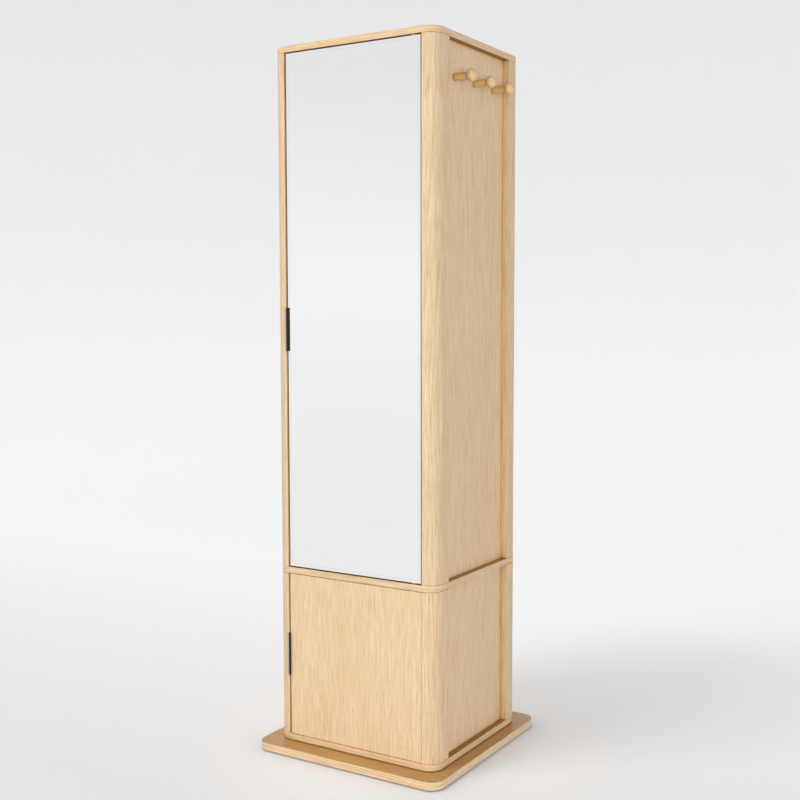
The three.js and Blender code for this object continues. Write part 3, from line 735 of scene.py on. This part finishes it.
rail = {"radius": 0.012, "wall": 0.0015, "ease": 0.0004}
socket = {
    "flange": 0.022, "flangeThick": 0.003, "inner": 0.0123, "outer": 0.0153, "deep": 0.017,
    "ease": 0.0006,
}


def railLevels():
    low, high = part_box("hanging_rail")
    centre = middleOf("hanging_rail")
    span = high.x - low.x
    inner, outer = rail["radius"] - rail["wall"], rail["radius"]
    profile = np.array([[inner, 0], [outer, 0], [outer, span], [inner, span]])
    profile = easedOutline(profile, rail["ease"])
    return turnedLevels(profile, (low.x, centre.y, centre.z), (1, 0, 0))


# A cup on a round flange, from the side panel's face inwards.
def socketLevels(node, way):
    low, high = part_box(node)
    centre = middleOf(node)
    mouth = low.x if way < 0 else high.x
    face = mouth - way * socket["deep"]
    thick, deep = socket["flangeThick"], socket["deep"]
    profile = [
        [pole, 0], [socket["flange"], 0], [socket["flange"], thick], [socket["outer"], thick],
        [socket["outer"], deep], [socket["inner"], deep], [socket["inner"], thick], [pole, thick],
    ]
    profile = easedTurn(profile, socket["ease"])
    return turnedLevels(profile, (face, centre.y, centre.z), (way, 0, 0))


addPiece("hanging_rail", railLevels(), "cabinet", finishes["rail"], ring=True)
for node, way in (("right_rail_socket", -1), ("left_rail_socket", 1)):
    addPiece(node, socketLevels(node, way), "cabinet", finishes["zinc"])
print("rail made")


# Pivot: the bolt, its bushing and the flanged lock nut

pivot = {
    "bolt": 0.006, "boltHead": 0.015, "headThick": 0.004, "bore": 0.00608, "sleeve": 0.00908,
    "flangeThick": 0.002, "chamfer": 0.0010, "ease": 0.0004,
}
nut = {
    "halfFlats": 0.0095, "flangeThick": 0.0025, "ease": 0.0004, "lip": 0.0006, "footHigh": 0.0002,
    "wallStart": 0.0008, "coneWide": 0.0009, "coneNarrow": 0.0001, "coneShare": 0.4,
    "mouth": 0.0007, "sides": 96,
}


def boltLevels():
    low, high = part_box("pivot_bolt")
    span, shank, head = high.z - low.z, pivot["bolt"], pivot["boltHead"]
    tip = pivot["chamfer"]
    profile = [
        [pole, 0], [head, 0], [head, pivot["headThick"]], [shank, pivot["headThick"]],
        [shank, span - tip], [shank - tip, span], [pole, span],
    ]
    return turnedLevels(easedTurn(profile, pivot["ease"]), (0, 0, low.z), up)


def bushingLevels():
    low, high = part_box("pivot_bushing")
    span, flange, bore, sleeve = high.z - low.z, high.x, pivot["bore"], pivot["sleeve"]
    under = span - pivot["flangeThick"]
    profile = np.array([
        [bore, 0], [sleeve, 0], [sleeve, under], [flange, under], [flange, span], [bore, span],
    ])
    return turnedLevels(easedOutline(profile, pivot["ease"]), (0, 0, low.z), up)


# The nut's reach at an angle is half its width across flats over the cosine of the angle to the
# nearest flat's middle. Its top is cut back to a cone, and its foot spreads into a round flange.
def nutLevels():
    low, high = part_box("pivot_lock_nut")
    angle = np.linspace(0, 2 * math.pi, nut["sides"], endpoint=False)
    half, ease, lip, thick = nut["halfFlats"], nut["ease"], nut["lip"], nut["flangeThick"]
    flat = half / np.cos((angle + math.pi / 6) % (math.pi / 3) - math.pi / 6)
    span, bore, flange, tip = high.z - low.z, pivot["bore"], high.x, pivot["chamfer"]
    even = np.ones(len(angle))
    rows = [
        (bore * even, 0), ((flange - ease) * even, 0), (flange * even, ease),
        (flange * even, thick - lip), ((flange - lip) * even, thick),
        (flat + ease, thick + nut["footHigh"]), (flat, thick + nut["wallStart"]),
        (flat, span - tip),
        (np.minimum(flat, half + nut["coneWide"]), span - nut["coneShare"] * tip),
        (np.minimum(flat, half + nut["coneNarrow"]), span),
        ((bore + nut["mouth"]) * even, span), (bore * even, span - nut["mouth"]),
    ]
    reach = np.array([row[0] for row in rows])
    height = low.z + np.array([row[1] for row in rows])[:, None] * even
    return np.stack([reach * np.cos(angle), reach * np.sin(angle), height], 2)


addPiece("pivot_bolt", boltLevels(), "base", finishes["zinc"])
addPiece("pivot_bushing", bushingLevels(), "cabinet", finishes["nylon"], ring=True)
addPiece("pivot_lock_nut", nutLevels(), "base", finishes["zinc"], ring=True)
print("pivot made")


# Door pins and bushes, screws in the pulls, and catches

hinge = {
    "pin": 0.0025, "pinEase": 0.0005, "pinSides": 32, "bore": 0.00258, "sleeve": 0.00458,
    "lip": 0.0008, "ease": 0.0002, "bushSides": 48,
}
screw = {
    "shank": 0.0018, "head": 0.0034, "headDeep": 0.0018, "slot": 0.0016, "slotDeep": 0.0010,
    "web": 0.0004, "power": 8, "waist": 0.75, "floor": 0.8, "ease": 0.0002, "point": 0.0030,
    "tipShare": 0.4, "sides": 64,
}
catch = {"height": 0.014, "ease": 0.0012}


def pinLevels(node):
    low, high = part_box(node)
    centre = middleOf(node)
    radius, span = hinge["pin"], high.z - low.z
    profile = easedTurn([[pole, 0], [radius, 0], [radius, span], [pole, span]], hinge["pinEase"])
    return turnedLevels(profile, (centre.x, centre.y, low.z), up, hinge["pinSides"])


# A sleeve in the panel with its flange on the door's side.
def bushLevels(node):
    low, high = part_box(node)
    centre = middleOf(node)
    way = 1 if node.endswith("top_bush") else -1
    start = low.z if way > 0 else high.z
    span, flange, lip = high.z - low.z, (high.x - low.x) / 2, hinge["lip"]
    bore, sleeve = hinge["bore"], hinge["sleeve"]
    profile = np.array([
        [bore, 0], [flange, 0], [flange, lip], [sleeve, lip], [sleeve, span], [bore, span],
    ])
    profile = easedOutline(profile, hinge["ease"])
    return turnedLevels(profile, (centre.x, centre.y, start), (0, 0, way), hinge["bushSides"])


# A countersunk screw. Its cross recess is a reach that grows with a high power of the cosine of
# twice the angle, drawn in and down to a point.
def screwLevels(node):
    low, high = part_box(node)
    centre = middleOf(node)
    angle = np.linspace(0, 2 * math.pi, screw["sides"], endpoint=False)
    web, ease, shank, head = screw["web"], screw["ease"], screw["shank"], screw["head"]
    cross = web + (screw["slot"] - web) * np.abs(np.cos(2 * angle)) ** screw["power"]
    span, even, deep = high.y - low.y, np.ones(len(angle)), screw["slotDeep"]
    rows = [
        (pole * even, 0), (shank * even * screw["tipShare"], ease), (shank * even, screw["point"]),
        (shank * even, span - screw["headDeep"]), (head * even, span - ease),
        ((head - ease) * even, span), (cross, span),
        (cross * screw["waist"], span - deep * screw["floor"]), (pole * even, span - deep),
    ]
    reach = np.array([row[0] for row in rows])
    along = low.y + np.array([row[1] for row in rows])[:, None] * even
    return np.stack([centre.x + reach * np.sin(angle), along, centre.z + reach * np.cos(angle)], 2)


for door in ("mirror_door", "lower_door"):
    for end in ("top", "bottom"):
        pin, bush = f"{door}_{end}_pin", f"{door}_{end}_bush"
        addPiece(pin, pinLevels(pin), door, finishes["zinc"])
        addPiece(bush, bushLevels(bush), "cabinet", finishes["nylon"], ring=True)
    for number in (1, 2):
        node = f"{door}_pull_screw_{number}"
        addPiece(node, screwLevels(node), door, finishes["zinc"])

    # The catch shows without the plug that goes up into the wood.
    node = door + "_catch"
    levels = boxLevels(node, catch["ease"], catch["height"])
    addPiece(node, levels, "cabinet", finishes["nylon"])
print("pins, screws and catches made")


# Fittings that stay as they are: the turntable with its screws, and the strikes

for node, obj in nodes.items():
    if not obj.hide_render and not node.endswith("_panel"):
        dress(node, finishes["zinc"])
print("fittings dressed")


# Studio: a round pale floor that curves up into a wall all round

studio = {
    "hole": 0.02, "floorRadius": 5.0, "curve": 2.5, "wallHeight": 6.0, "floorSteps": 24,
    "curveSteps": 32, "wallSteps": 8, "sides": 128,
    "paper": (0.80, 0.80, 0.805), "fleckScale": 3.0, "fleckShare": 0.99, "roughness": 0.9,
    "frontGlow": 0.28, "backGlow": 0.505, "glowShown": (-0.6, 1.5), "wallGlow": 0.40,
    "wallLight": 0.55, "litHeight": 4.0, "fadeHeight": 1.2, "lampSideGlow": 0.82,
    "lampSideShown": (-2.0, -0.9), "contactReach": 0.14, "contactSamples": 8,
    "contactShade": 0.30, "contactShown": (0.35, 1.0), "mirroredFloor": 0.92,
    "mirroredWall": 0.99, "mirroredTop": 0.86, "mirroredWallFrom": 1.4, "mirroredTopFrom": 3.2,
}


# Distance from the middle and height along the paper: flat, a quarter circle, then upright.
def studioLevels():
    flat = np.linspace(studio["hole"], studio["floorRadius"], studio["floorSteps"])
    angle = np.linspace(0, math.pi / 2, studio["curveSteps"])
    bendRadius = studio["floorRadius"] + studio["curve"] * np.sin(angle)
    bendHeight = studio["curve"] * (1 - np.cos(angle))
    wall = np.linspace(studio["curve"], studio["wallHeight"], studio["wallSteps"])[1:]
    radius = np.concatenate([flat, bendRadius, np.full(len(wall), bendRadius[-1])])
    height = np.concatenate([np.zeros(len(flat)), bendHeight, wall])
    return turnedLevels(np.stack([radius, height], 1), (0, 0, 0), up, studio["sides"])


# The levels joined by quads that face inwards, with one face over the hole in the middle.
def studioMesh():
    levels = studioLevels()
    rows, columns = levels.shape[:2]
    start = np.arange((rows - 1) * columns).reshape(rows - 1, columns)
    beside = np.roll(start, -1, 1)
    quads = np.stack([start, beside, beside + columns, start + columns], 2).reshape(-1, 4)[:, ::-1]
    mesh = bpy.data.meshes.new("studio_paper")
    mesh.from_pydata(levels.reshape(-1, 3).tolist(), [], quads.tolist() + [list(range(columns))])
    mesh.polygons.foreach_set("use_smooth", np.ones(len(mesh.polygons), bool))
    return mesh


# The paper glows where it is seen, more towards the back and less in a painted contact shadow
# around the cabinet, and only its wall lights the cabinet, so that faces turned up or down stay
# darker than upright ones, as under soft boxes at the sides. In the mirror it is one even glow
# without the lamps' light, and so is the part beside the lamps to the eye.
def paperFinish():
    g = Graph("studioPaper")
    source = g.place()
    fleck = g.noise(source, studio["fleckScale"], detail=2.0)
    tone = g.blend(fleck, colour(*studio["paper"]), scaled(studio["paper"], studio["fleckShare"]))
    path = g.add("ShaderNodeLightPath").outputs
    seenDirectly, mirrored = path["Is Camera Ray"], path["Is Glossy Ray"]
    spot = g.parts(source)
    height = spot["Z"]
    lampSide = g.ranged(spot["Y"], *studio["lampSideShown"], 1.0, 0.0)
    unlit = g.math("MAXIMUM", mirrored, g.math("MULTIPLY", seenDirectly, lampSide))
    g.link(g.blend(unlit, tone, colour(0, 0, 0)), "Base Color")
    g.fix("Roughness", studio["roughness"])
    g.fix("Specular IOR Level", 0.0)
    g.fix("Emission Color", colour(1, 1, 1))
    rise = g.ranged(height, 0.0, studio["curve"], 0.0, 1.0)
    top = studio["litHeight"] + studio["fadeHeight"]
    fade = g.ranged(height, studio["litHeight"], top, 1.0, 0.0)
    floorGlow = g.ranged(spot["Y"], *studio["glowShown"], studio["frontGlow"], studio["backGlow"])
    # Painted contact shadow: ambient occlusion darkens the glow near the cabinet and the base.
    near = g.openness(studio["contactReach"], studio["contactSamples"])
    paintedContactShadow = g.ranged(near, *studio["contactShown"], studio["contactShade"], 1.0)
    even = g.mixed(lampSide, g.mixed(rise, floorGlow, studio["wallGlow"]), studio["lampSideGlow"])
    seenGlow = g.math("MULTIPLY", paintedContactShadow, g.math("MULTIPLY", fade, even))
    castGlow = g.math("MULTIPLY", fade, g.math("MULTIPLY", rise, studio["wallLight"]))
    wallFrom, topFrom = studio["mirroredWallFrom"], studio["mirroredTopFrom"]
    lower = g.ranged(height, 0.0, wallFrom, studio["mirroredFloor"], studio["mirroredWall"])
    drop = studio["mirroredTop"] - studio["mirroredWall"]
    higher = g.ranged(height, wallFrom, topFrom, 0.0, drop)
    mirrorGlow = g.math("MULTIPLY", fade, g.math("ADD", lower, higher))
    glow = g.mixed(mirrored, g.mixed(seenDirectly, castGlow, seenGlow), mirrorGlow)
    g.link(glow, "Emission Strength")
    return g.material


paper = bpy.data.objects.new("studio_paper", studioMesh())
bpy.context.scene.collection.objects.link(paper)
paper.data.materials.append(paperFinish())

# Lamps that leave the paper out let the cabinet's shadow fall to one side only.
lights = {
    "key": {"place": (-2.8, -4.4, 0.9), "size": 2.4, "watts": 68.0, "tone": (1.0, 0.99, 0.97)},
    "fill": {"place": (3.75, -3.45, 0.7), "size": 2.2, "watts": 150.0, "tone": (0.965, 0.98, 1.0)},
    "top": {"place": (-1.6, -2.9, 6.0), "size": 2.4, "watts": 110.0, "tone": (0.98, 0.99, 1.0)},
    "rear": {"place": (-2.4, 4.0, 1.5), "size": 2.2, "watts": 60.0, "tone": (1.0, 0.99, 0.97)},
}
leavePaper = ("fill", "rear")
aimPoint = Vector((0, 0, 0.9))
for name, setting in lights.items():
    lamp = bpy.data.lights.new(name, "AREA")
    lamp.shape = "DISK"
    lamp.size = setting["size"]
    lamp.energy = setting["watts"]
    lamp.color = setting["tone"]
    holder = bpy.data.objects.new(name, lamp)
    holder.location = setting["place"]
    holder.rotation_euler = (aimPoint - holder.location).to_track_quat("-Z", "Y").to_euler()
    holder.visible_glossy = False
    holder.visible_camera = False
    bpy.context.scene.collection.objects.link(holder)
    if name in leavePaper:
        lit = bpy.data.collections.new(name + "_paper")
        lit.objects.link(paper)
        lit.collection_objects[0].light_linking.link_state = "EXCLUDE"
        holder.light_linking.receiver_collection = lit

surround = {"tone": (0.95, 0.97, 1.0), "strength": 0.10}
world = bpy.data.worlds.new("studio")
bpy.context.scene.world = world
world.use_nodes = True
background = world.node_tree.nodes["Background"].inputs
background["Color"].default_value = colour(*surround["tone"])
background["Strength"].default_value = surround["strength"]
bpy.context.scene.view_settings.view_transform = "Standard"
print("studio made")


# Camera: the place and turn that the straight edges of the object give, angles in degrees

view = {
    "place": (1.59815, -2.57377, 1.14207), "yaw": 31.81, "pitch": 4.44, "roll": -0.114,
    "lens": 52.02, "sensor": 36,
}
yaw, pitch, roll = (math.radians(view[key]) for key in ("yaw", "pitch", "roll"))
level = Vector((math.cos(yaw), math.sin(yaw), 0))
ahead = Vector((
    -math.sin(yaw) * math.cos(pitch), math.cos(yaw) * math.cos(pitch), -math.sin(pitch)))
above = level.cross(ahead)
rightHand = math.cos(roll) * level + math.sin(roll) * above
upward = math.cos(roll) * above - math.sin(roll) * level
cameraData = bpy.data.cameras.new("camera")
cameraData.sensor_width = view["sensor"]
cameraData.lens = view["lens"]
camera = bpy.data.objects.new("camera", cameraData)
turn = Matrix((rightHand, upward, -ahead)).transposed().to_4x4()
camera.matrix_world = Matrix.Translation(Vector(view["place"])) @ turn
bpy.context.scene.collection.objects.link(camera)
bpy.context.scene.camera = camera
print("camera placed")

bpy.context.view_layer.update()
